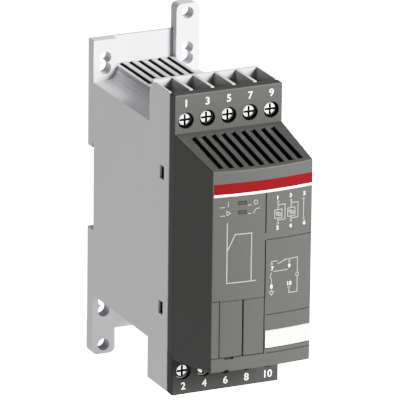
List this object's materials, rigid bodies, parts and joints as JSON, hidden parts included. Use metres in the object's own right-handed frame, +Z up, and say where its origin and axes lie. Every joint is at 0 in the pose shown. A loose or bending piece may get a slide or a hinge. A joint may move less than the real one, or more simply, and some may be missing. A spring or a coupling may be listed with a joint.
{
  "type": "soft starter",
  "caption": "Compact two-tone soft starter for a small motor, 45 mm wide, with screw clamps above and below a tapered front, side fixing ears and a seat for a 35 mm rail",
  "frame": {"origin": "centre of the rail seat at the rear, halfway across and halfway up the device", "axes": "+X to the right as seen from the front, +Y from the front to the rear, +Z up along the height"},
  "size_m": [0.045, 0.114, 0.14],
  "materials": {
    "light_grey_plastic": "matte",
    "dark_grey_plastic": "matte",
    "blank_plastic": "matte",
    "white_plastic": "matte",
    "light_pipe": "gloss",
    "led_body": "gloss",
    "board_green": "matte",
    "relay_black": "matte",
    "module_grey": "matte",
    "transformer_blue": "matte",
    "capacitor_sleeve": "gloss",
    "aluminium": "satin",
    "zinc_steel": "satin",
    "spring_steel": "satin",
    "tinned_copper": "satin",
    "latch_black": "matte"
  },
  "bodies": {
    "base": {"rear_housing": "light_grey_plastic", "front_cover": "dark_grey_plastic", "left_blank_cover": "blank_plastic", "right_blank_cover": "blank_plastic", "marker_plate": "white_plastic", "on_ready_light_pipe": "light_pipe", "run_tor_light_pipe": "light_pipe", "on_ready_led": "led_body", "run_tor_led": "led_body", "power_board": "board_green", "control_board": "board_green", "link_board": "board_green", "bypass_relay_1": "relay_black", "bypass_relay_2": "relay_black", "capacitor_1": "capacitor_sleeve", "capacitor_2": "capacitor_sleeve", "supply_transformer": "transformer_blue", "heat_sink": "aluminium", "thyristor_module_1": "module_grey", "thyristor_module_2": "module_grey", "module_screw_1": "zinc_steel", "module_screw_2": "zinc_steel", "latch_spring": "spring_steel", "phase_3_bar": "tinned_copper", "upper_bar_1": "tinned_copper", "upper_bar_2": "tinned_copper", "upper_bar_4": "tinned_copper", "upper_bar_5": "tinned_copper", "lower_bar_1": "tinned_copper", "lower_bar_2": "tinned_copper", "lower_bar_4": "tinned_copper", "lower_bar_5": "tinned_copper"},
    "upper_screw_1_body": {"upper_screw_1": "zinc_steel"},
    "upper_clamp_1_body": {"upper_clamp_1": "zinc_steel"},
    "upper_screw_2_body": {"upper_screw_2": "zinc_steel"},
    "upper_clamp_2_body": {"upper_clamp_2": "zinc_steel"},
    "upper_screw_3_body": {"upper_screw_3": "zinc_steel"},
    "upper_clamp_3_body": {"upper_clamp_3": "zinc_steel"},
    "upper_screw_4_body": {"upper_screw_4": "zinc_steel"},
    "upper_clamp_4_body": {"upper_clamp_4": "zinc_steel"},
    "upper_screw_5_body": {"upper_screw_5": "zinc_steel"},
    "upper_clamp_5_body": {"upper_clamp_5": "zinc_steel"},
    "lower_screw_1_body": {"lower_screw_1": "zinc_steel"},
    "lower_clamp_1_body": {"lower_clamp_1": "zinc_steel"},
    "lower_screw_2_body": {"lower_screw_2": "zinc_steel"},
    "lower_clamp_2_body": {"lower_clamp_2": "zinc_steel"},
    "lower_screw_3_body": {"lower_screw_3": "zinc_steel"},
    "lower_clamp_3_body": {"lower_clamp_3": "zinc_steel"},
    "lower_screw_4_body": {"lower_screw_4": "zinc_steel"},
    "lower_clamp_4_body": {"lower_clamp_4": "zinc_steel"},
    "lower_screw_5_body": {"lower_screw_5": "zinc_steel"},
    "lower_clamp_5_body": {"lower_clamp_5": "zinc_steel"},
    "rail_latch_body": {"rail_latch": "latch_black"}
  },
  "joints": [
    {"name": "upper_screw_1_turn", "type": "hinge", "parent": "base", "child": "upper_screw_1_body", "pos_m": [-0.0178, -0.0741, 0.049], "axis": [0, 1, 0], "range_deg": [0, 2520]},
    {"name": "upper_clamp_1_lift", "type": "slide", "parent": "base", "child": "upper_clamp_1_body", "axis": [0, -1, 0], "range_m": [0, 0.0042]},
    {"name": "upper_screw_2_turn", "type": "hinge", "parent": "base", "child": "upper_screw_2_body", "pos_m": [-0.0089, -0.0741, 0.049], "axis": [0, 1, 0], "range_deg": [0, 2520]},
    {"name": "upper_clamp_2_lift", "type": "slide", "parent": "base", "child": "upper_clamp_2_body", "axis": [0, -1, 0], "range_m": [0, 0.0042]},
    {"name": "upper_screw_3_turn", "type": "hinge", "parent": "base", "child": "upper_screw_3_body", "pos_m": [0, -0.0741, 0.049], "axis": [0, 1, 0], "range_deg": [0, 2520]},
    {"name": "upper_clamp_3_lift", "type": "slide", "parent": "base", "child": "upper_clamp_3_body", "axis": [0, -1, 0], "range_m": [0, 0.0042]},
    {"name": "upper_screw_4_turn", "type": "hinge", "parent": "base", "child": "upper_screw_4_body", "pos_m": [0.0089, -0.0741, 0.049], "axis": [0, 1, 0], "range_deg": [0, 2520]},
    {"name": "upper_clamp_4_lift", "type": "slide", "parent": "base", "child": "upper_clamp_4_body", "axis": [0, -1, 0], "range_m": [0, 0.0042]},
    {"name": "upper_screw_5_turn", "type": "hinge", "parent": "base", "child": "upper_screw_5_body", "pos_m": [0.0178, -0.0741, 0.049], "axis": [0, 1, 0], "range_deg": [0, 2520]},
    {"name": "upper_clamp_5_lift", "type": "slide", "parent": "base", "child": "upper_clamp_5_body", "axis": [0, -1, 0], "range_m": [0, 0.0042]},
    {"name": "lower_screw_1_turn", "type": "hinge", "parent": "base", "child": "lower_screw_1_body", "pos_m": [-0.0178, -0.0741, -0.0519], "axis": [0, 1, 0], "range_deg": [0, 2520]},
    {"name": "lower_clamp_1_lift", "type": "slide", "parent": "base", "child": "lower_clamp_1_body", "axis": [0, -1, 0], "range_m": [0, 0.0042]},
    {"name": "lower_screw_2_turn", "type": "hinge", "parent": "base", "child": "lower_screw_2_body", "pos_m": [-0.0089, -0.0741, -0.0519], "axis": [0, 1, 0], "range_deg": [0, 2520]},
    {"name": "lower_clamp_2_lift", "type": "slide", "parent": "base", "child": "lower_clamp_2_body", "axis": [0, -1, 0], "range_m": [0, 0.0042]},
    {"name": "lower_screw_3_turn", "type": "hinge", "parent": "base", "child": "lower_screw_3_body", "pos_m": [0, -0.0741, -0.0519], "axis": [0, 1, 0], "range_deg": [0, 2520]},
    {"name": "lower_clamp_3_lift", "type": "slide", "parent": "base", "child": "lower_clamp_3_body", "axis": [0, -1, 0], "range_m": [0, 0.0042]},
    {"name": "lower_screw_4_turn", "type": "hinge", "parent": "base", "child": "lower_screw_4_body", "pos_m": [0.0089, -0.0741, -0.0519], "axis": [0, 1, 0], "range_deg": [0, 2520]},
    {"name": "lower_clamp_4_lift", "type": "slide", "parent": "base", "child": "lower_clamp_4_body", "axis": [0, -1, 0], "range_m": [0, 0.0042]},
    {"name": "lower_screw_5_turn", "type": "hinge", "parent": "base", "child": "lower_screw_5_body", "pos_m": [0.0178, -0.0741, -0.0519], "axis": [0, 1, 0], "range_deg": [0, 2520]},
    {"name": "lower_clamp_5_lift", "type": "slide", "parent": "base", "child": "lower_clamp_5_body", "axis": [0, -1, 0], "range_m": [0, 0.0042]},
    {"name": "rail_latch_slide", "type": "slide", "parent": "base", "child": "rail_latch_body", "axis": [0, 0, -1], "range_m": [0, 0.003], "stiffness_N_per_m": 1200, "springref_m": -0.004, "deforming": ["latch_spring"]}
  ],
  "couplings": [
    {"joint": "upper_screw_1_turn", "follows": "upper_clamp_1_lift", "rad_per_m": 10472},
    {"joint": "upper_screw_2_turn", "follows": "upper_clamp_2_lift", "rad_per_m": 10472},
    {"joint": "upper_screw_3_turn", "follows": "upper_clamp_3_lift", "rad_per_m": 10472},
    {"joint": "upper_screw_4_turn", "follows": "upper_clamp_4_lift", "rad_per_m": 10472},
    {"joint": "upper_screw_5_turn", "follows": "upper_clamp_5_lift", "rad_per_m": 10472},
    {"joint": "lower_screw_1_turn", "follows": "lower_clamp_1_lift", "rad_per_m": 10472},
    {"joint": "lower_screw_2_turn", "follows": "lower_clamp_2_lift", "rad_per_m": 10472},
    {"joint": "lower_screw_3_turn", "follows": "lower_clamp_3_lift", "rad_per_m": 10472},
    {"joint": "lower_screw_4_turn", "follows": "lower_clamp_4_lift", "rad_per_m": 10472},
    {"joint": "lower_screw_5_turn", "follows": "lower_clamp_5_lift", "rad_per_m": 10472}
  ]
}
